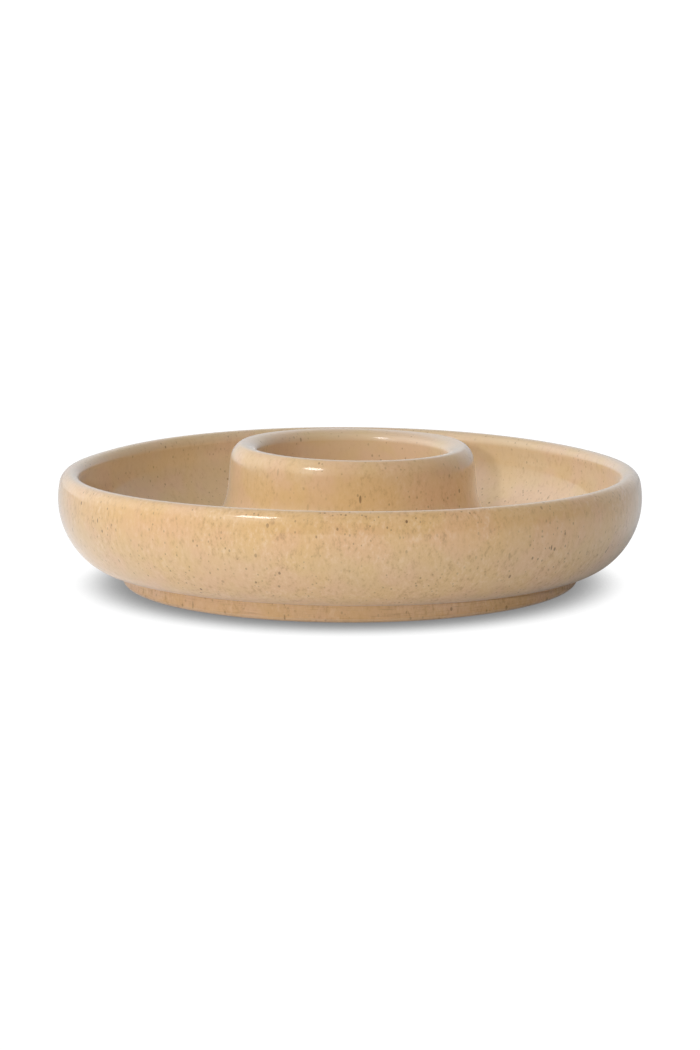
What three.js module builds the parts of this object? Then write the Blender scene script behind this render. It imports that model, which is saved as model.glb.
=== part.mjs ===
// Chip and dip server: a round stoneware dish with a dip cup in the middle and a foot ring below.
// Millimetres, +Z up. The origin is the centre of the foot ring's contact face, on the table.
//
// Every piece is a body of revolution. Its outline is drawn in the (radius, height) plane with
// the clay on the left of the direction of travel, out of straight runs and tangent arcs. A
// "facing" is the direction in which the surface looks, in degrees: 0 looks away from the axis,
// 90 looks up, 180 looks at the axis and -90 looks down.

import * as THREE from 'three';

// ---- Driving dimensions -------------------------------------------------------------------

const DISH_RADIUS = 152.4;        // widest point of the wall
const RIM_HEIGHT = 59;            // top of the dish's lip above the table
const UNDERSIDE_HEIGHT = 8.2;     // dish's flat underside above the table
const FLOOR_THICKNESS = 8.2;

const CUP_HEIGHT = 72.2;          // top of the cup's lip above the table
const CUP_LIP_RADIUS = 57.6;      // radius of the highest line of the cup's lip
const CUP_FLOOR_THICKNESS = 6;
const CUP_SEAT_DEPTH = 1.5;       // shallow seat in the dish's floor that takes the cup's base

const FOOT_OUTER_RADIUS = 119.1;
const FOOT_INNER_RADIUS = 107.3;
const FOOT_EDGE_RADIUS = 1.8;     // rounding of the two edges that meet the table

const JOINT_GAP = 0.3;            // slip joint between two luted pieces

// Dish wall, outside, from the top of the lip down: radius of each arc and the facing it ends at.
// One more arc runs out level with the underside.
const WALL_ARCS = [
  { radius: 4.7, endFacing: 51 },
  { radius: 7.5, endFacing: 12 },
  { radius: 40.3, endFacing: -45 },
];

// Dish lip, inside, from the top down. The lip leans over the wall by a few degrees.
const LIP_INSIDE_ARCS = [{ radius: 5, endFacing: 190 }];

// Cup lip, outside and inside, from the top down: a thick roll with a wider bore below it.
const CUP_LIP_OUTSIDE_ARCS = [
  { radius: 3, endFacing: 55 },
  { radius: 10.5, endFacing: 5 },
];
const CUP_LIP_INSIDE_ARCS = [
  { radius: 11, endFacing: 125 },
  { radius: 4, endFacing: 186 },
];
const CUP_FLANK_FOOT = 50;        // height at which the cup's outside starts to flare
const CUP_BORE_FOOT = 46;         // height at which the cup's inside starts to round in

const SEGMENTS = 72;              // facets round the axis
const CHORD_SAG = 0.1;            // how far an arc may stand off its own chords

// ---- Outline drawing ----------------------------------------------------------------------

const UP = 90;
const DOWN = -90;
const ROUNDED = 1;
const HOLLOW = -1;
const radians = THREE.MathUtils.degToRad;

const point = (radius, height) => new THREE.Vector2(radius, height);
const direction = (facing) => point(Math.cos(radians(facing)), Math.sin(radians(facing)));

/**
 * Draws a tangent arc from `start`, whose surface looks towards `fromFacing`, until the surface
 * looks towards `toFacing`. `bulge` is ROUNDED or HOLLOW.
 */
function arc(start, fromFacing, toFacing, radius, bulge = ROUNDED) {
  const centre = start.clone().addScaledVector(direction(fromFacing), -bulge * radius);
  const turn = radians(Math.abs(toFacing - fromFacing));
  const steps = Math.ceil(turn / (2 * Math.acos(1 - CHORD_SAG / radius)));
  const points = [];
  for (let i = 1; i <= steps; i++) {
    const facing = fromFacing + ((toFacing - fromFacing) * i) / steps;
    points.push(centre.clone().addScaledVector(direction(facing), bulge * radius));
  }
  return points;
}

/** Draws rounded arcs one after another, from a lip's top, and returns their points in order. */
function arcChain(start, arcs) {
  const points = [start];
  let facing = UP;
  for (const { radius, endFacing } of arcs) {
    points.push(...arc(points.at(-1), facing, endFacing, radius));
    facing = endFacing;
  }
  return points;
}

/** Draws the tangent arc that leads from `start` down to a flat face at `level`. */
function runOut(start, fromFacing, level, bulge) {
  const radius = (start.y - level) / (1 + bulge * Math.sin(radians(fromFacing)));
  return arc(start, fromFacing, bulge === HOLLOW ? UP : DOWN, radius, bulge);
}

/** The point at `level` on a straight wall that starts at `start` and looks towards `facing`. */
function wallPoint(start, facing, level) {
  return point(start.x + (start.y - level) * Math.tan(radians(facing)), level);
}

/** How far a chain of arcs stands out from its first point, at its widest. */
function reach(arcs) {
  return arcs.reduce(({ out, facing }, { radius, endFacing }) => {
    const widest = Math.max(endFacing, 0);
    return {
      out: out + radius * Math.max(0, direction(widest).x - direction(facing).x),
      facing: widest,
    };
  }, { out: 0, facing: UP }).out;
}

// ---- Dish: floor, wall and lip, with a seat for the cup -------------------------------------

const dishFloor = UNDERSIDE_HEIGHT + FLOOR_THICKNESS;
const seatFloor = dishFloor - CUP_SEAT_DEPTH;
const lastFacing = (arcs) => arcs.at(-1).endFacing;

function dishOutline(cupBaseRadius) {
  const lipTop = point(DISH_RADIUS - reach(WALL_ARCS), RIM_HEIGHT);
  const outside = arcChain(lipTop, WALL_ARCS);
  outside.push(...runOut(outside.at(-1), lastFacing(WALL_ARCS), UNDERSIDE_HEIGHT, ROUNDED));
  const inside = arcChain(lipTop, LIP_INSIDE_ARCS).slice(1);
  inside.push(...runOut(inside.at(-1), lastFacing(LIP_INSIDE_ARCS), dishFloor, HOLLOW));
  const seatRadius = cupBaseRadius + JOINT_GAP;
  return [
    point(0, UNDERSIDE_HEIGHT),
    ...outside.reverse(),
    ...inside,
    point(seatRadius, dishFloor),
    point(seatRadius, seatFloor),
    point(0, seatFloor),
  ];
}

// ---- Dip cup: a small bowl whose flank flares out level with the dish's floor ---------------

const cupLipTop = point(CUP_LIP_RADIUS, CUP_HEIGHT);

function cupFlank() {
  const facing = lastFacing(CUP_LIP_OUTSIDE_ARCS);
  const flank = arcChain(cupLipTop, CUP_LIP_OUTSIDE_ARCS);
  flank.push(wallPoint(flank.at(-1), facing, CUP_FLANK_FOOT));
  flank.push(...runOut(flank.at(-1), facing, dishFloor, HOLLOW));
  return flank;
}

function cupOutline(flank) {
  const base = seatFloor + JOINT_GAP;
  const cupFloor = base + CUP_FLOOR_THICKNESS;
  const facing = lastFacing(CUP_LIP_INSIDE_ARCS);
  const inside = arcChain(cupLipTop, CUP_LIP_INSIDE_ARCS).slice(1);
  inside.push(wallPoint(inside.at(-1), facing, CUP_BORE_FOOT));
  inside.push(...runOut(inside.at(-1), facing, cupFloor, HOLLOW));
  return [
    point(0, base),
    point(flank.at(-1).x, base),
    ...flank.toReversed(),
    ...inside,
    point(0, cupFloor),
  ];
}

// ---- Foot ring: stands on the table and carries the dish ------------------------------------

function footOutline() {
  const top = UNDERSIDE_HEIGHT - JOINT_GAP;
  const outerEdge = point(FOOT_OUTER_RADIUS - FOOT_EDGE_RADIUS, 0);
  const innerEdge = point(FOOT_INNER_RADIUS, FOOT_EDGE_RADIUS);
  return [
    outerEdge,
    ...arc(outerEdge, DOWN, 0, FOOT_EDGE_RADIUS),
    point(FOOT_OUTER_RADIUS, top),
    point(FOOT_INNER_RADIUS, top),
    innerEdge,
    ...arc(innerEdge, -180, DOWN, FOOT_EDGE_RADIUS),
    outerEdge,
  ];
}

// ---- Assembly -------------------------------------------------------------------------------

/** Spins a closed outline about the Z axis and names the piece. */
function turned(name, outline, { color, roughness }) {
  const geometry = new THREE.LatheGeometry(outline, SEGMENTS);
  geometry.rotateX(Math.PI / 2);
  const material = new THREE.MeshStandardMaterial({ color, roughness, metalness: 0 });
  const mesh = new THREE.Mesh(geometry, material);
  mesh.name = name;
  return mesh;
}

const glazedClay = { color: 0xd9b98f, roughness: 0.22 };
const glazedCup = { color: 0xd6b488, roughness: 0.22 };
const footClay = { color: 0xb48d5f, roughness: 0.45 };

const flank = cupFlank();
const server = new THREE.Group();
server.add(
  turned('dish', dishOutline(flank.at(-1).x), glazedClay),
  turned('dip_cup', cupOutline(flank), glazedCup),
  turned('foot_ring', footOutline(), footClay),
);

export default server;
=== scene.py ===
"""Chip and dip server: a round speckled stoneware dish with a dip cup in the middle and a foot ring.

Metres, +Z up. The camera looks along +Y, so -Y is the front and +X is on the right. Each piece is
turned about +Z from an outline in the (radius, height) plane, then warped a little, as a piece
thrown by hand comes out of the kiln. A "facing" is the direction in which the surface looks, in
degrees: 0 looks away from the axis, 90 looks up, 180 looks at the axis and -90 looks down.
"""

import math

import bpy
import numpy as np
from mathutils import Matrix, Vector


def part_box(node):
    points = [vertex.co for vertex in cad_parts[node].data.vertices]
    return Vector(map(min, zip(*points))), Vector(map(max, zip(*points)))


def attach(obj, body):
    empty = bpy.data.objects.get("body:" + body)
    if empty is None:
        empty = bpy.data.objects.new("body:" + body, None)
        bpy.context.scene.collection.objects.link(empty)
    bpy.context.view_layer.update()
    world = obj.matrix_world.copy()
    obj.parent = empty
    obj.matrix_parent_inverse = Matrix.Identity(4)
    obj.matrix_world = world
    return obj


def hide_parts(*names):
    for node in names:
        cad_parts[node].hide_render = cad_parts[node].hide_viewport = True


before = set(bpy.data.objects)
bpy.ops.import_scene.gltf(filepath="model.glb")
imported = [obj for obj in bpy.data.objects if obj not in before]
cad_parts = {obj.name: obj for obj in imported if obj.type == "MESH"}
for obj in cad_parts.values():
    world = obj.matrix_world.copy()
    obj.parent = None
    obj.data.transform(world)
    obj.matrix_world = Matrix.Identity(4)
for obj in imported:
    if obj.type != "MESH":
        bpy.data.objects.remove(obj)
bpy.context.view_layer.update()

MM = 0.001
UP = 90
DOWN = -90
ROUNDED = 1
HOLLOW = -1
TINY = 1e-9                       # metres; a shorter distance counts as none

# ---- Sizes that come from the frame -----------------------------------------------------------

dish_low, dish_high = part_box("dish")
cup_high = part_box("dip_cup")[1]
foot_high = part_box("foot_ring")[1]

DISH_RADIUS = dish_high[0]
RIM_HEIGHT = dish_high[2]
UNDERSIDE_HEIGHT = dish_low[2]
CUP_BASE_RADIUS = cup_high[0]
CUP_HEIGHT = cup_high[2]
FOOT_RADIUS = foot_high[0]

# ---- Outline of each piece --------------------------------------------------------------------

FLOOR_HEIGHT = 16.4 * MM          # top of the dish's floor
SEAT_DEPTH = 1.5 * MM             # shallow seat in the dish's floor that takes the cup's base
CUP_FLOOR_HEIGHT = 21.2 * MM
CUP_LIP_RADIUS = 57.6 * MM
CUP_FLANK_FOOT = 50 * MM          # height at which the cup's outside starts to flare
CUP_BORE_FOOT = 46 * MM           # height at which the cup's inside starts to round in
FOOT_INNER_RADIUS = 107.3 * MM
FOOT_EDGE_RADIUS = 1.8 * MM

# (radius in millimetres, facing at the end) of each arc, from the top of the lip down
WALL_ARCS = [(4.7, 51), (7.5, 12), (40.3, -45)]
LIP_INSIDE_ARCS = [(5, 190)]
CUP_LIP_OUTSIDE_ARCS = [(3, 55), (10.5, 5)]
CUP_LIP_INSIDE_ARCS = [(11, 125), (4, 186)]

SEGMENTS = 288                    # round the axis
ARC_STEP = 1.5 * MM               # longest step along a curved stretch of an outline
TURN_STEP = 7                     # largest turn between two steps, in degrees
FLAT_STEP = 6 * MM                # longest step along a flat stretch
SHORTEST_BEND = 0.1 * MM          # a bend is spread over at least this length of outline
SHARP_EDGE = 35                   # an edge that turns by more degrees than this is drawn sharp

# ---- What the hand and the kiln did -----------------------------------------------------------
# A bearing is in degrees from the back towards the right.

SADDLE = 0.75 * MM                # wall stands higher at the front and back than at the sides
RIM_LEAN = 0.5 * MM               # and a little higher at the front than at the back
RIM_TWIST = 0.2 * MM              # and a little higher at the back left than at the back right
RIM_DIPS = [(62, 28, 0.6 * MM), (-66, 14, 0.45 * MM)]   # (bearing, spread in degrees, depth)
FULL_WARP_HEIGHT = 9 * MM         # the warp grows from nothing at the table to full at this height
WARP_INNER_RADIUS = 70 * MM       # nothing inside this radius is warped
WARP_OUTER_RADIUS = 110 * MM      # and everything outside this one is
CUP_SHIFT = 1.2 * MM              # cup leans to the right of the dish's centre
CUP_LIP_SLOPE = 0.017             # and its lip falls to the right
CUP_SHIFT_FULL = 42 * MM          # height by which the cup is fully off centre
CUP_SHIFT_MARGIN = 30 * MM        # the shift fades out over this width inside the cup's base
SHOULDER_BEARING = 62             # the outside of the cup's lip is squarer here
SHOULDER_SPREAD = 30              # degrees
SHOULDER_RISE = 1.3 * MM
SHOULDER_RADII = (CUP_LIP_RADIUS - 2 * MM, CUP_LIP_RADIUS + 4 * MM)    # rises from one to the other
SHOULDER_HEIGHTS = (CUP_HEIGHT - 22 * MM, CUP_HEIGHT - 7 * MM)


def direction(facing):
    """The unit step (outwards, up) towards a facing."""
    return np.array([math.cos(math.radians(facing)), math.sin(math.radians(facing))])


def arc(start, from_facing, to_facing, radius, bulge=ROUNDED):
    """Points of a tangent arc from start, whose surface looks towards from_facing."""
    centre = start - bulge * radius * direction(from_facing)
    turn = abs(to_facing - from_facing)
    steps = max(math.ceil(turn / TURN_STEP), math.ceil(math.radians(turn) * radius / ARC_STEP))
    facings = np.linspace(from_facing, to_facing, steps + 1)[1:]
    return [centre + bulge * radius * direction(facing) for facing in facings]


def arc_chain(start, arcs):
    """Rounded arcs one after another, from the top of a lip."""
    points = [start]
    facing = UP
    for radius, end_facing in arcs:
        points += arc(points[-1], facing, end_facing, radius * MM)
        facing = end_facing
    return points


def run_out(start, from_facing, level, bulge):
    """The tangent arc that leads from start down to a flat face at level."""
    radius = (start[1] - level) / (1 + bulge * math.sin(math.radians(from_facing)))
    return arc(start, from_facing, UP if bulge == HOLLOW else DOWN, radius, bulge)


def straight(start, end, step=FLAT_STEP):
    """Points after start on a straight run to end."""
    start, end = np.array(start), np.array(end)
    steps = math.ceil(np.linalg.norm(end - start) / step)
    return [start + (end - start) * i / steps for i in range(1, steps + 1)]


def wall(start, facing, level):
    """Points after start on a straight wall that looks towards facing, down to level."""
    slope = math.tan(math.radians(facing))
    return straight(start, (start[0] + (start[1] - level) * slope, level), ARC_STEP)


def reach(arcs):
    """How far a chain of arcs stands out from its first point, at its widest."""
    out, facing = 0, UP
    for radius, end_facing in arcs:
        widest = max(end_facing, 0)
        out += radius * MM * max(0, direction(widest)[0] - direction(facing)[0])
        facing = widest
    return out


def dish_outline():
    lip_top = np.array([DISH_RADIUS - reach(WALL_ARCS), RIM_HEIGHT])
    outside = arc_chain(lip_top, WALL_ARCS)
    outside += run_out(outside[-1], WALL_ARCS[-1][1], UNDERSIDE_HEIGHT, ROUNDED)
    inside = arc_chain(lip_top, LIP_INSIDE_ARCS)[1:]
    inside += run_out(inside[-1], LIP_INSIDE_ARCS[-1][1], FLOOR_HEIGHT, HOLLOW)
    outline = [np.array([0, UNDERSIDE_HEIGHT])]
    outline += straight(outline[-1], outside[-1])
    outline += outside[-2::-1]
    outline += inside
    outline += straight(outline[-1], (CUP_BASE_RADIUS, FLOOR_HEIGHT))
    outline += straight(outline[-1], (CUP_BASE_RADIUS, FLOOR_HEIGHT - SEAT_DEPTH))
    outline += straight(outline[-1], (0, FLOOR_HEIGHT - SEAT_DEPTH))
    return outline


def cup_outline():
    lip_top = np.array([CUP_LIP_RADIUS, CUP_HEIGHT - CUP_LIP_SLOPE * CUP_LIP_RADIUS])
    flank_facing = CUP_LIP_OUTSIDE_ARCS[-1][1]
    flank = arc_chain(lip_top, CUP_LIP_OUTSIDE_ARCS)
    flank += wall(flank[-1], flank_facing, CUP_FLANK_FOOT)
    flank += run_out(flank[-1], flank_facing, FLOOR_HEIGHT, HOLLOW)
    flank += straight(flank[-1], (CUP_BASE_RADIUS, FLOOR_HEIGHT))
    bore_facing = CUP_LIP_INSIDE_ARCS[-1][1]
    bore = arc_chain(lip_top, CUP_LIP_INSIDE_ARCS)[1:]
    bore += wall(bore[-1], bore_facing, CUP_BORE_FOOT)
    bore += run_out(bore[-1], bore_facing, CUP_FLOOR_HEIGHT, HOLLOW)
    base = FLOOR_HEIGHT - SEAT_DEPTH
    outline = [np.array([0, base])]
    outline += straight(outline[-1], (CUP_BASE_RADIUS, base))
    outline += flank[::-1] + bore
    outline += straight(outline[-1], (0, CUP_FLOOR_HEIGHT))
    return outline


def foot_outline():
    top = UNDERSIDE_HEIGHT
    outer_edge = np.array([FOOT_RADIUS - FOOT_EDGE_RADIUS, 0])
    inner_edge = np.array([FOOT_INNER_RADIUS, FOOT_EDGE_RADIUS])
    outline = [outer_edge]
    outline += arc(outer_edge, DOWN, 0, FOOT_EDGE_RADIUS)
    outline += straight(outline[-1], (FOOT_RADIUS, top), ARC_STEP)
    outline += straight(outline[-1], (FOOT_INNER_RADIUS, top))
    outline += straight(outline[-1], inner_edge)
    outline += arc(inner_edge, -180, DOWN, FOOT_EDGE_RADIUS)
    outline += straight(outline[-1], outer_edge)
    return outline[:-1]


def smooth_step(value, low, high):
    """0 up to low, 1 from high, and an S-curve between them."""
    t = np.clip((value - low) / (high - low), 0, 1)
    return t * t * (3 - 2 * t)


def kiln_warp(points):
    """Moves points by the slow warp that the dish, the foot and the cup's flank share."""
    x, y, z = points.T
    radius = np.maximum(np.hypot(x, y), MM)
    weight = smooth_step(radius, WARP_INNER_RADIUS, WARP_OUTER_RADIUS)
    weight *= np.clip(z / FULL_WARP_HEIGHT, 0, 1)
    toward_front = -y / radius
    saddle = SADDLE * (2 * toward_front ** 2 - 1)
    lean = RIM_LEAN * toward_front * radius / DISH_RADIUS
    bearing = np.arctan2(x, y)
    twist = -RIM_TWIST * (np.sin(bearing) + np.sin(3 * bearing))
    dips = sum(depth * np.exp(-((np.degrees(bearing) - centre) / spread) ** 2)
               for centre, spread, depth in RIM_DIPS)
    points[:, 2] += weight * (saddle + lean + twist - dips)


def cup_lean(points):
    """Moves the cup's upper part off centre, drops the right side of its lip, and squares its
    shoulder on one bearing."""
    z = points[:, 2].copy()
    radius = np.hypot(points[:, 0], points[:, 1])
    inside = smooth_step(CUP_BASE_RADIUS - radius, 0, CUP_SHIFT_MARGIN)
    rise = smooth_step(z, FLOOR_HEIGHT, CUP_SHIFT_FULL) * inside
    points[:, 2] -= CUP_LIP_SLOPE * points[:, 0] * smooth_step(z, CUP_FLOOR_HEIGHT, CUP_HEIGHT)
    points[:, 0] += CUP_SHIFT * rise
    bearing = np.degrees(np.arctan2(points[:, 0], points[:, 1]))
    near = np.exp(-((bearing - SHOULDER_BEARING) / SHOULDER_SPREAD) ** 2)
    outer = smooth_step(radius, *SHOULDER_RADII)
    high = smooth_step(z, *SHOULDER_HEIGHTS)
    points[:, 2] += SHOULDER_RISE * near * outer * high


def curvature(points, closed):
    """Turn per metre along an outline, positive where the clay is rounded, negative in a hollow."""
    if closed:
        before, after = np.roll(points, 1, axis=0), np.roll(points, -1, axis=0)
    else:
        before = np.vstack([points[:1], points[:-1]])
        after = np.vstack([points[1:], points[-1:]])
    a, b = points - before, after - points
    turn = np.arctan2(a[:, 0] * b[:, 1] - a[:, 1] * b[:, 0], (a * b).sum(axis=1))
    length = (np.hypot(*a.T) + np.hypot(*b.T)) / 2
    return turn / np.maximum(length, SHORTEST_BEND)


def outwardness(points, closed):
    """How far the surface looks away from the axis along an outline: 1 away, -1 at the axis."""
    ahead = np.roll(points, -1, axis=0) - np.roll(points, 1, axis=0)
    if not closed:
        ahead[0], ahead[-1] = points[1] - points[0], points[-1] - points[-2]
    return ahead[:, 1] / np.maximum(np.hypot(*ahead.T), TINY)


def spun(outline, closed):
    """The points and faces of an outline that is spun about the Z axis. A row of the outline gives
    a ring of points, or a single point where it lies on the axis."""
    angles = np.linspace(0, 2 * math.pi, SEGMENTS, endpoint=False)
    points, first, width = [], [], []
    for radius, height in outline:
        first.append(len(points))
        if radius > TINY:
            points += [(radius * math.sin(a), -radius * math.cos(a), height) for a in angles]
        else:
            points.append((0, 0, height))
        width.append(len(points) - first[-1])
    faces = []
    rows = len(outline)
    for here in range(rows if closed else rows - 1):
        there = (here + 1) % rows
        for i in range(SEGMENTS):
            corners = ((here, i), (here, i + 1), (there, i + 1), (there, i))
            face = [first[row] + column % width[row] for row, column in corners]
            faces.append(tuple(dict.fromkeys(face)))
    return np.array(points), faces, width


def turned(name, outline, closed, shape):
    """A piece turned from an outline. Each function in shape moves its points. A closed outline
    goes round a ring, and any other starts and ends on the axis."""
    outline = np.array(outline)
    points, faces, width = spun(outline, closed)
    for move in shape:
        move(points)
    mesh = bpy.data.meshes.new(name)
    mesh.from_pydata(points.tolist(), [], faces)
    mesh.shade_smooth()
    mesh.set_sharp_from_angle(angle=math.radians(SHARP_EDGE))
    for label, measure in (("bend", curvature), ("outward", outwardness)):
        values = np.repeat(measure(outline, closed), width)
        mesh.attributes.new(label, "FLOAT", "POINT").data.foreach_set("value", values)
    piece = bpy.data.objects.new(name, mesh)
    bpy.context.scene.collection.objects.link(piece)
    return piece


# ---- Node trees -------------------------------------------------------------------------------

SPECK_EDGE = 0.35                 # soft share of a speck's radius


class Nodes:
    """A short way to write a node tree. Apart from add and fill, a call returns a socket."""

    def __init__(self, name):
        self.material = bpy.data.materials.new(name)
        self.material.use_nodes = True
        self.tree = self.material.node_tree
        self.tree.nodes.clear()
        self.place = self.add("ShaderNodeTexCoord").outputs["Object"]

    def add(self, kind, **settings):
        """Adds a node with these properties."""
        node = self.tree.nodes.new(kind)
        for key, value in settings.items():
            setattr(node, key, value)
        return node

    def fill(self, socket, value):
        """Links a socket to another one's value, or sets it to a constant."""
        if isinstance(value, bpy.types.NodeSocket):
            self.tree.links.new(value, socket)
        else:
            socket.default_value = value

    def maths(self, operation, *values):
        """The outcome of one operation on numbers or sockets."""
        node = self.add("ShaderNodeMath", operation=operation)
        for socket, value in zip(node.inputs, values):
            self.fill(socket, value)
        return node.outputs[0]

    def stretch(self, scale):
        """Object coordinates in millimetres, scaled along each axis."""
        node = self.add("ShaderNodeMapping")
        self.fill(node.inputs["Vector"], self.place)
        node.inputs["Scale"].default_value = [axis / MM for axis in scale]
        return node.outputs[0]

    def noise(self, size, stretch=(1, 1, 1), detail=3, roughness=0.55, offset=0):
        """Soft noise from 0 to 1 with features of about size millimetres."""
        node = self.add("ShaderNodeTexNoise")
        self.fill(node.inputs["Vector"], self.stretch([axis / size for axis in stretch]))
        node.inputs["Scale"].default_value = 1
        node.inputs["Detail"].default_value = detail
        node.inputs["Roughness"].default_value = roughness
        if offset:
            node.noise_dimensions = "4D"
            node.inputs["W"].default_value = offset
        return node.outputs[0]

    def ramp(self, value, low, high, to_low=0, to_high=1):
        """An S-curve from to_low at low to to_high at high."""
        node = self.add("ShaderNodeMapRange", interpolation_type="SMOOTHSTEP")
        for socket, number in zip(node.inputs, (value, low, high, to_low, to_high)):
            self.fill(socket, number)
        return node.outputs[0]

    def blend(self, factor, first, second, mode="MIX"):
        """The first colour, turned by factor towards the second or towards their product."""
        node = self.add("ShaderNodeMix", data_type="RGBA", blend_type=mode)
        self.fill(node.inputs["Factor"], factor)
        self.fill(node.inputs["A"], first)
        self.fill(node.inputs["B"], second)
        return node.outputs["Result"]

    def specks(self, spacing, size, stretch=(1, 1, 1), share=1.0):
        """1 inside scattered specks and 0 between them. Sizes are in millimetres, and share is the
        share of places that have a speck."""
        cells = self.add("ShaderNodeTexVoronoi", feature="F1")
        self.fill(cells.inputs["Vector"], self.stretch([axis / spacing for axis in stretch]))
        cells.inputs["Scale"].default_value = 1
        cells.inputs["Randomness"].default_value = 1
        chance = self.add("ShaderNodeSeparateColor")
        self.fill(chance.inputs[0], cells.outputs["Color"])
        radius = self.ramp(chance.outputs["Red"], 1 - share, 1, 0, size / spacing / 2)
        edge = self.maths("SUBTRACT", radius, cells.outputs["Distance"])
        return self.ramp(edge, 0, SPECK_EDGE * size / spacing / 2)


def srgb(red, green, blue):
    """A colour as it is seen on screen, turned by the sRGB standard's curve into the linear values
    that the shader takes."""
    def linear(value):
        value /= 255
        return value / 12.92 if value <= 0.04045 else ((value + 0.055) / 1.055) ** 2.4
    return (linear(red), linear(green), linear(blue), 1)


# ---- Glaze ------------------------------------------------------------------------------------
# Noise and specks are sized in plain millimetres, and each offset picks a noise of its own. A span
# is the two values of a noise or measure between which an effect grows from nothing to its full
# strength. Outwardness is 1 on faces that look away from the axis and -1 on those that look at it.

GOLDEN_PATCH = 34
GOLDEN_SPAN = (0.38, 0.62)
ROSY_PATCH = 21
ROSY_SPAN = (0.40, 0.64)
ROSY_SHARE = 0.8
SHOULDER_SPAN = (30 * MM, 52 * MM)     # heights: the outside of the wall turns golden and darker, partly its own tone and partly painted shade
OUTSIDE_SPAN = (0.0, 0.5)              # outwardness
# partly painted shade: the darker golden shoulder also stands for the dim reflection of the room
# under the rim
SHOULDER_TONE_AND_SHADE = (1.02, 0.94, 0.83, 1)
INSIDE_SPAN = (0.15, -0.15)            # outwardness
CUP_SPAN = (CUP_BASE_RADIUS + 12 * MM, CUP_BASE_RADIUS + 2 * MM)    # radii
INNER_PAINTED_REFLECTION = (1.02, 1.09, 1.21, 1)     # painted reflection: the cup and the inside of the dish are paler, like a veil of white reflection

GRAIN_SIZE = 2.2
GRAIN_STRETCH = (1, 1, 0.6)
GRAIN_FACING_SPAN = (-0.3, 0.5)   # outwardness
GRAIN_PATCH = 30
GRAIN_PATCH_SPAN = (0.38, 0.6)
INNER_GRAIN = 0.45                # strength of the grain on faces that look at the axis
CALM_GRAIN = 0.45                 # and between the patches that have most of it
CUP_GRAIN = 0.6                   # and on the cup
DARK_SPAN = (0.5, 0.30)
DARK_GRAIN = (0.42, 0.22, 0.09, 1)
DARK_SHARE = 0.48
PALE_SPAN = (0.5, 0.70)
PALE_GRAIN = (0.96, 0.74, 0.50, 1)
PALE_SHARE = 0.40

PALE_EDGE_SPAN = (60, 420)             # radians per metre: glaze runs off a rounded edge, and a painted highlight lies along it
# paler colour at rounded edges: partly thin glaze, partly a painted highlight
PALE_EDGE_GLAZE_AND_HIGHLIGHT = (0.83, 0.66, 0.49, 1)
PALE_EDGE_SHARE = 0.35
BRUSH_SIZE = 14
BRUSH_STRETCH = (1, 1, 22)        # thin level bands
BRUSH_SPAN = (0.52, 0.72)
BRUSH_MARK = (0.32, 0.16, 0.06, 1)

IRON = (0.14, 0.058, 0.018, 1)
IRON_PATCH = 22
IRON_PATCH_SPAN = (0.38, 0.60)
SPARSE_IRON = 0.3                 # strength of the specks between the patches
IRON_GRAIN_SPAN = (0.45, 1)
CALM_IRON = 0.7                   # and where the grain is calm
SPECKS = {                        # (spacing, size, stretch, share of places, strength)
    "freckles": (2.0, 1.3, (1, 1, 0.7), 0.6, 0.5),
    "spots": (5.6, 1.9, (1, 1, 0.7), 0.6, 0.75),
    "short vertical runs": (5.2, 1.6, (1, 1, 0.3), 0.55, 0.85),
}

SKIN_SIZE = 3.2                   # slow ripple of the glaze
PIT_SIZE = 0.8
PIT_SHARE = 0.12
SPOT_SINK = 0.25                  # depth of a spot, as a share of the ripple's height
RELIEF = 0.05 * MM                # height of the ripple
GLOSS_PATCH = 9
GLOSS_SPAN = (0.3, 0.7)
ROUGHNESS_RANGE = (0.13, 0.20)
CLEAR_COAT = {                    # what is the same all over the glaze
    "IOR": 1.5,
    "Coat Weight": 0.5,
    "Coat Roughness": 0.04,
    "Sheen Weight": 0.32,
    "Sheen Roughness": 0.42,
    "Sheen Tint": (0.93, 0.94, 1, 1),
}


def patches(nodes, base, rosy, golden):
    """Broad golden and rosy patches."""
    broad = nodes.ramp(nodes.noise(GOLDEN_PATCH, detail=2), *GOLDEN_SPAN)
    warm = nodes.ramp(nodes.noise(ROSY_PATCH, detail=2, offset=3.1), *ROSY_SPAN)
    colour = nodes.blend(broad, base, golden)
    return nodes.blend(nodes.maths("MULTIPLY", warm, ROSY_SHARE), colour, rosy)


def tone_and_painted_light(nodes, colour, outward, cup):
    """A golden shoulder outside, partly the glaze's own tone and partly painted shade, and a paler
    tone inside the dish and on the cup that is a painted reflection.
    """
    height = nodes.add("ShaderNodeSeparateXYZ")
    nodes.fill(height.inputs[0], nodes.place)
    # partly painted shade: a darker golden band on the outside of the wall, set by height
    shoulder_tone_and_shade = nodes.maths("MULTIPLY", nodes.ramp(height.outputs["Z"], *SHOULDER_SPAN),
                           nodes.ramp(outward, *OUTSIDE_SPAN))
    colour = nodes.blend(shoulder_tone_and_shade, colour, SHOULDER_TONE_AND_SHADE, "MULTIPLY")
    # painted reflection: a pale veil on faces that look at the axis and round the cup
    inner_reflection = nodes.maths("MAXIMUM", nodes.ramp(outward, *INSIDE_SPAN), cup)
    return nodes.blend(inner_reflection, colour, INNER_PAINTED_REFLECTION, "MULTIPLY")


def coarseness(nodes, outward, cup):
    """Where the glaze is grainy and where it is calm."""
    facing = nodes.ramp(outward, *GRAIN_FACING_SPAN, INNER_GRAIN, 1)
    patch = nodes.noise(GRAIN_PATCH, detail=1, offset=8.1)
    patch = nodes.ramp(patch, *GRAIN_PATCH_SPAN, CALM_GRAIN, 1)
    coarse = nodes.maths("MULTIPLY", facing, patch)
    return nodes.maths("MULTIPLY", coarse, nodes.ramp(cup, 0, 1, 1, CUP_GRAIN))


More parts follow.
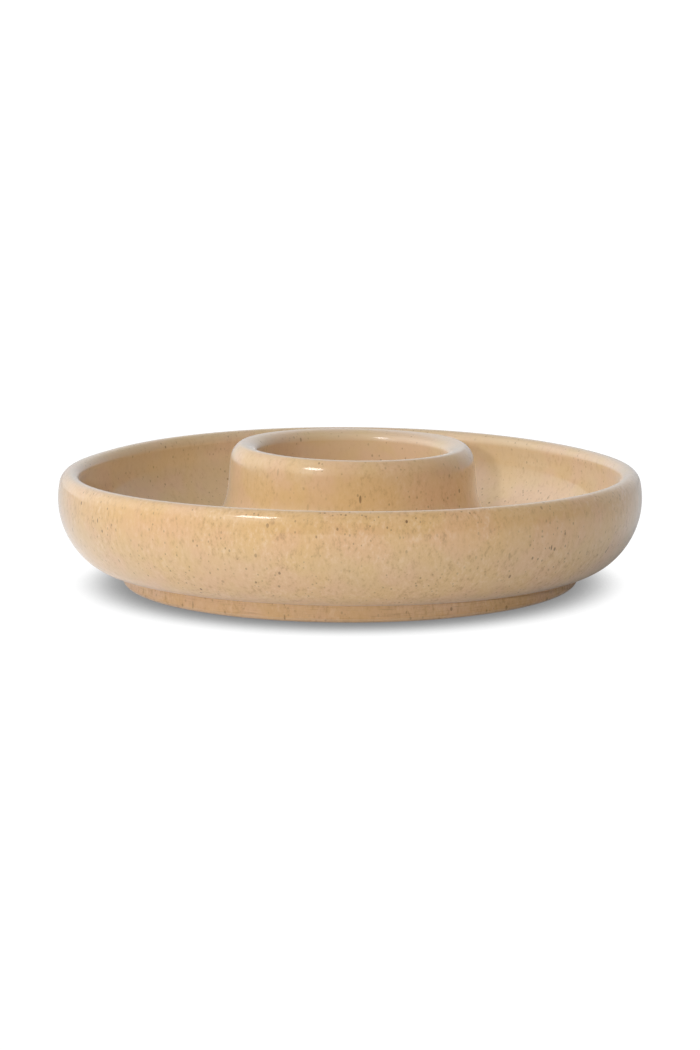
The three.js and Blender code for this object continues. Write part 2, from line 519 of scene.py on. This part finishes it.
def grained(nodes, colour, coarse):
    """Fine dark and pale grain."""
    grain = nodes.noise(GRAIN_SIZE, stretch=GRAIN_STRETCH, roughness=0.7, offset=6.6)
    dark = nodes.maths("MULTIPLY", nodes.ramp(grain, *DARK_SPAN), coarse)
    pale = nodes.maths("MULTIPLY", nodes.ramp(grain, *PALE_SPAN), coarse)
    colour = nodes.blend(nodes.maths("MULTIPLY", dark, DARK_SHARE), colour, DARK_GRAIN)
    return nodes.blend(nodes.maths("MULTIPLY", pale, PALE_SHARE), colour, PALE_GRAIN)


def thinned_and_highlit(nodes, colour):
    """Paler where the glaze runs off a rounded edge: partly thin glaze, partly a painted highlight.
    """
    bend = nodes.add("ShaderNodeAttribute", attribute_name="bend").outputs["Fac"]
    # partly a painted highlight: rounded edges turn paler
    pale_edge = nodes.ramp(bend, *PALE_EDGE_SPAN)
    return nodes.blend(nodes.maths("MULTIPLY", pale_edge, PALE_EDGE_SHARE), colour, PALE_EDGE_GLAZE_AND_HIGHLIGHT)


def brushed(nodes, colour, share):
    """Level brush marks."""
    bands = nodes.noise(BRUSH_SIZE, stretch=BRUSH_STRETCH, offset=1.9)
    bands = nodes.ramp(bands, *BRUSH_SPAN)
    return nodes.blend(nodes.maths("MULTIPLY", bands, share), colour, BRUSH_MARK)


def ironed(nodes, colour, coarse, speckle):
    """Iron specks of every kind. Returns the colour, and where the spots are."""
    patchy = nodes.noise(IRON_PATCH, detail=1, offset=5.5)
    patchy = nodes.ramp(patchy, *IRON_PATCH_SPAN, SPARSE_IRON, 1)
    grainy = nodes.ramp(coarse, *IRON_GRAIN_SPAN, CALM_IRON, 1)
    patchy = nodes.maths("MULTIPLY", patchy, grainy)
    marks = {}
    for kind, (spacing, size, stretch, share, strength) in SPECKS.items():
        marks[kind] = nodes.specks(spacing, size, stretch=stretch, share=share)
        strength = nodes.maths("MULTIPLY", patchy, strength * speckle)
        colour = nodes.blend(nodes.maths("MULTIPLY", marks[kind], strength), colour, IRON)
    return colour, marks["spots"]


def skin(nodes, spots):
    """The normal of a slightly rippled and pitted skin."""
    ripple = nodes.noise(SKIN_SIZE, detail=2, offset=2.2)
    pits = nodes.maths("MULTIPLY", nodes.noise(PIT_SIZE, detail=2, offset=9.2), PIT_SHARE)
    relief = nodes.maths("ADD", ripple, pits)
    relief = nodes.maths("SUBTRACT", relief, nodes.maths("MULTIPLY", spots, SPOT_SINK))
    bump = nodes.add("ShaderNodeBump")
    nodes.fill(bump.inputs["Height"], relief)
    bump.inputs["Distance"].default_value = RELIEF
    bump.inputs["Strength"].default_value = 1
    return bump.outputs[0]


def glazed(name, base, rosy, golden, speckle=1.0, brush=0.0):
    """A thin glossy glaze over iron-bearing clay."""
    nodes = Nodes(name)
    outward = nodes.add("ShaderNodeAttribute", attribute_name="outward").outputs["Fac"]
    radius = nodes.add("ShaderNodeVectorMath", operation="LENGTH")
    nodes.fill(radius.inputs[0], nodes.stretch((MM, MM, 0)))      # metres, height left out
    cup = nodes.ramp(radius.outputs["Value"], *CUP_SPAN)
    coarse = coarseness(nodes, outward, cup)

    colour = patches(nodes, base, rosy, golden)
    colour = tone_and_painted_light(nodes, colour, outward, cup)
    colour = grained(nodes, colour, coarse)
    colour = thinned_and_highlit(nodes, colour)
    if brush:
        colour = brushed(nodes, colour, brush)
    colour, spots = ironed(nodes, colour, coarse, speckle)

    surface = nodes.add("ShaderNodeBsdfPrincipled")
    nodes.fill(surface.inputs["Base Color"], colour)
    gloss = nodes.noise(GLOSS_PATCH, offset=4.4)
    gloss = nodes.ramp(gloss, *GLOSS_SPAN, *ROUGHNESS_RANGE)
    nodes.fill(surface.inputs["Roughness"], gloss)
    nodes.fill(surface.inputs["Normal"], skin(nodes, spots))
    for socket, value in CLEAR_COAT.items():
        nodes.fill(surface.inputs[socket], value)
    output = nodes.add("ShaderNodeOutputMaterial")
    nodes.fill(output.inputs["Surface"], surface.outputs[0])
    return nodes.material


# ---- Pieces -----------------------------------------------------------------------------------

speckled_glaze = glazed("speckled_glaze", base=srgb(228, 195, 148), rosy=srgb(231, 193, 154),
                        golden=srgb(229, 194, 142))
foot_glaze = glazed("foot_glaze", base=srgb(230, 194, 148), rosy=srgb(232, 194, 158),
                    golden=srgb(228, 190, 140), speckle=0.7, brush=0.28)

# (piece, node that it replaces, slot, material, outline, whether it is closed, its movers)
PIECES = [
    ("stoneware_dish", "dish", "speckled_glaze", speckled_glaze, dish_outline(), False, [kiln_warp]),
    ("stoneware_cup", "dip_cup", "speckled_glaze", speckled_glaze, cup_outline(), False,
     [cup_lean, kiln_warp]),
    ("stoneware_foot", "foot_ring", "foot_glaze", foot_glaze, foot_outline(), True, [kiln_warp]),
]

for name, node, slot, material, outline, closed, shape in PIECES:
    piece = turned(name, outline, closed, shape)
    piece.data.materials.append(material)
    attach(piece, "root")
    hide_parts(node)

# ---- Floor, light and camera ------------------------------------------------------------------

CENTRE = Vector((0, 0, RIM_HEIGHT / 2))
LAMP_DISTANCE = 2.0
FLOOR_SIZE = 12
FLOOR_ALBEDO = 0.95
COVER_REACH = 0.09                # metres within which something over the paper darkens its painted shadow
COVER_SAMPLES = 32
PAINTED_SHADOW_RAMP = (0.0, 0.525, 0.20, 1.06)   # open share of the sky, from and to; brightness of the glowing paper and its painted shadow, from and to
PAINTED_SHADOW_TILT = 15                     # degrees by which the test for the painted shadow leans to the back, so that the painted shadow spreads to the front
BACKDROP_BRIGHTNESS = 1.1
ROOM_GLOW = 0.16                  # even light from every side
# Broad soft light from the room: (azimuth, elevation, sharpness, strength)
ROOM_LOBES = [
    (-42, 25, 30, 1.7),
    (-90, 45, 6, 1.05),
    (-90, 10, 6, 0.35),
    (-45, 10, 6, 0.10),
    (135, 10, 6, 0.46),
    (180, 10, 6, 0.26),
    (180, 32, 16, 0.32),
    (-135, 10, 6, 0.85),
]


def around(azimuth, elevation, distance):
    """A point seen from the object. Azimuth 0 is the front and 90 is the right."""
    a, e = math.radians(azimuth), math.radians(elevation)
    level = math.cos(e)
    return CENTRE + distance * Vector((math.sin(a) * level, -math.cos(a) * level, math.sin(e)))


def softbox(name, azimuth, elevation, width, height, power):
    """A rectangular lamp that faces the object."""
    data = bpy.data.lights.new(name, "AREA")
    data.shape = "RECTANGLE"
    data.size, data.size_y = width, height
    data.energy = power
    lamp = bpy.data.objects.new(name, data)
    lamp.location = around(azimuth, elevation, LAMP_DISTANCE)
    lamp.rotation_euler = (CENTRE - lamp.location).to_track_quat("-Z", "Y").to_euler()
    bpy.context.scene.collection.objects.link(lamp)
    return lamp


def paper(name):
    """White paper. It lights the object from below, and the lens sees it glowing white, with a
    painted shadow where the object stands over it instead of one cast by the lamps."""
    nodes = Nodes(name)
    cover = nodes.add("ShaderNodeAmbientOcclusion", samples=COVER_SAMPLES)
    cover.inputs["Distance"].default_value = COVER_REACH
    shadow_axis = nodes.add("ShaderNodeCombineXYZ")
    shadow_axis.inputs["Y"].default_value = math.sin(math.radians(PAINTED_SHADOW_TILT))
    shadow_axis.inputs["Z"].default_value = math.cos(math.radians(PAINTED_SHADOW_TILT))
    nodes.fill(cover.inputs["Normal"], shadow_axis.outputs[0])
    # painted shadow: the paper glows white and is darkened where the object covers the tilted sky
    glow_and_painted_shadow = nodes.add("ShaderNodeEmission")
    nodes.fill(glow_and_painted_shadow.inputs["Strength"], nodes.ramp(cover.outputs["AO"], *PAINTED_SHADOW_RAMP))
    matt = nodes.add("ShaderNodeBsdfDiffuse")
    matt.inputs["Color"].default_value = (FLOOR_ALBEDO, FLOOR_ALBEDO, FLOOR_ALBEDO, 1)
    seen = nodes.add("ShaderNodeLightPath").outputs["Is Camera Ray"]
    choice = nodes.add("ShaderNodeMixShader")
    for socket, source in zip(choice.inputs, (seen, matt.outputs[0], glow_and_painted_shadow.outputs[0])):
        nodes.fill(socket, source)
    output = nodes.add("ShaderNodeOutputMaterial")
    nodes.fill(output.inputs["Surface"], choice.outputs[0])
    return nodes.material


def studio():
    """A plain white room: an even glow and broad soft lobes. The lens sees it as pure white."""
    world = bpy.data.worlds.new("studio")
    bpy.context.scene.world = world
    world.use_nodes = True
    tree = world.node_tree
    tree.nodes.clear()

    def join(kind, *sources, **settings):
        """Adds a node and fills its inputs in order, each from a socket or with a constant."""
        node = tree.nodes.new(kind)
        for key, value in settings.items():
            setattr(node, key, value)
        for socket, source in zip(node.inputs, sources):
            if isinstance(source, bpy.types.NodeSocket):
                tree.links.new(source, socket)
            else:
                socket.default_value = source
        return node

    toward = tree.nodes.new("ShaderNodeTexCoord").outputs["Generated"]
    total = ROOM_GLOW
    for azimuth, elevation, sharpness, strength in ROOM_LOBES:
        axis = (around(azimuth, elevation, 1) - CENTRE).normalized()
        facing = join("ShaderNodeVectorMath", toward, axis, operation="DOT_PRODUCT").outputs["Value"]
        facing = join("ShaderNodeMath", facing, 0, operation="MAXIMUM").outputs[0]
        lobe = join("ShaderNodeMath", facing, sharpness, operation="POWER").outputs[0]
        total = join("ShaderNodeMath", lobe, strength, total, operation="MULTIPLY_ADD").outputs[0]
    room = join("ShaderNodeBackground", (1, 1, 1, 1), total).outputs[0]
    backdrop = join("ShaderNodeBackground", (1, 1, 1, 1), BACKDROP_BRIGHTNESS).outputs[0]
    seen = tree.nodes.new("ShaderNodeLightPath").outputs["Is Camera Ray"]
    join("ShaderNodeOutputWorld", join("ShaderNodeMixShader", seen, room, backdrop).outputs[0])


bpy.ops.mesh.primitive_plane_add(size=FLOOR_SIZE, location=(0, 0, 0))
floor = bpy.context.object
floor.name = "floor"
floor.data.materials.append(paper("paper"))

studio()
softbox("key", azimuth=-42, elevation=43, width=0.46, height=0.36, power=6.0)
front_fill = softbox("front_fill", azimuth=-7, elevation=12, width=0.06, height=0.06, power=7.7)
front_fill.visible_glossy = False     # it leaves no highlight in the glaze

scene = bpy.context.scene
scene.view_settings.view_transform = "Standard"

SENSOR_HEIGHT = 36                # millimetres, like the focal length
FOCAL_LENGTH = 114.4
ORBIT_HEIGHT = 31.5 * MM          # the camera's distance and elevation are measured from here
AIM_HEIGHT = 28.3 * MM
CAMERA_DISTANCE = 1.7495
CAMERA_ELEVATION = 9.73

camera_data = bpy.data.cameras.new("camera")
camera_data.sensor_fit = "VERTICAL"
camera_data.sensor_height = SENSOR_HEIGHT
camera_data.lens = FOCAL_LENGTH
camera = bpy.data.objects.new("camera", camera_data)
outwards, upwards = CAMERA_DISTANCE * direction(CAMERA_ELEVATION)
camera.location = (0, -outwards, ORBIT_HEIGHT + upwards)
gaze = Vector((0, 0, AIM_HEIGHT)) - camera.location
camera.rotation_euler = gaze.to_track_quat("-Z", "Y").to_euler()
scene.collection.objects.link(camera)
scene.camera = camera
